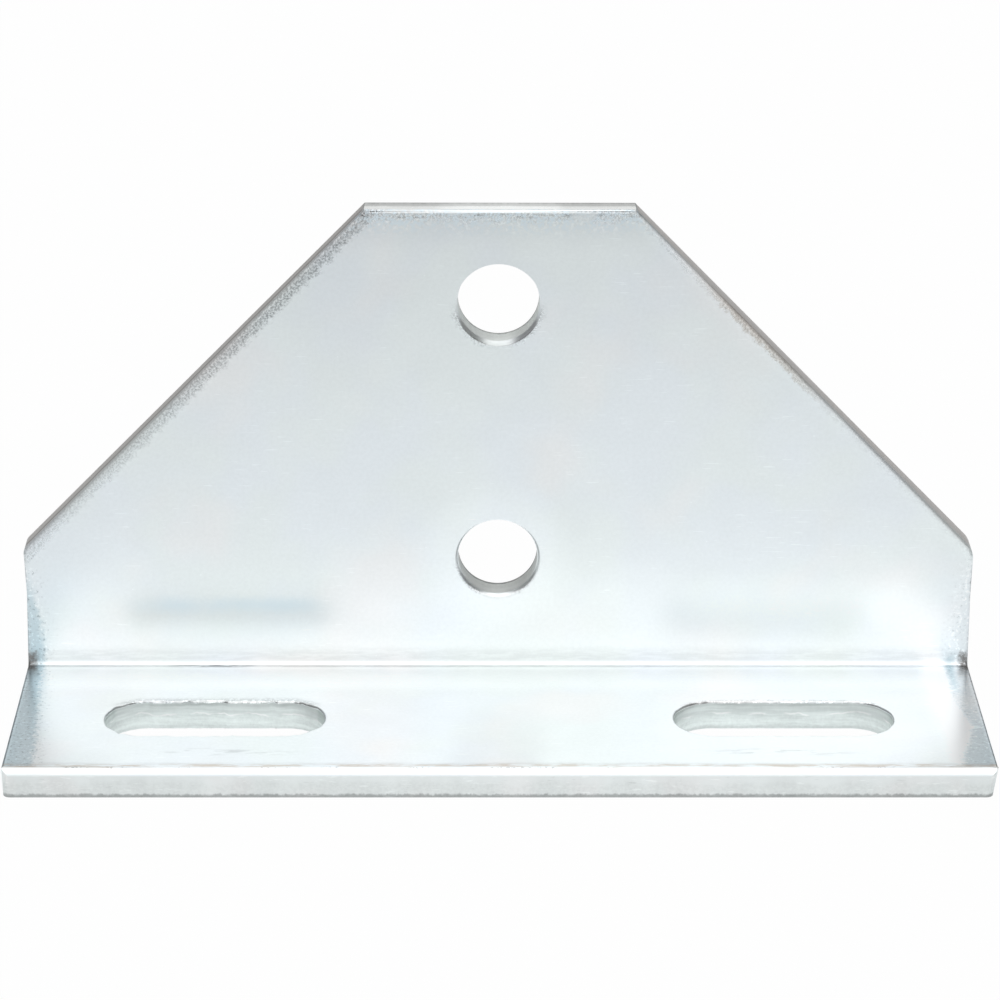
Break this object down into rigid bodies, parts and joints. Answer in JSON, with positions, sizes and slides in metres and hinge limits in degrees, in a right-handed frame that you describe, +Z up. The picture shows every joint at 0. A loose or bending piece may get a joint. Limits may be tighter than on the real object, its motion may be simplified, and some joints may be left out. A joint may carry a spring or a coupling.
{
  "type": "corner angle bracket",
  "caption": "Folded steel corner bracket with a slotted base and a sloping-shouldered upright drilled on its centre line, for bolting framing at a right angle.",
  "frame": {"origin": "middle of the bracket's footprint, on the underside of the base", "axes": "+X along the fold, +Y from the front edge of the base to the back of the upright, +Z up"},
  "size_m": [0.13, 0.038, 0.0695],
  "materials": {
    "zinc_steel": "bright zinc plate, satin"
  },
  "bodies": {
    "root": {"angle_bracket": "zinc_steel"}
  },
  "joints": []
}
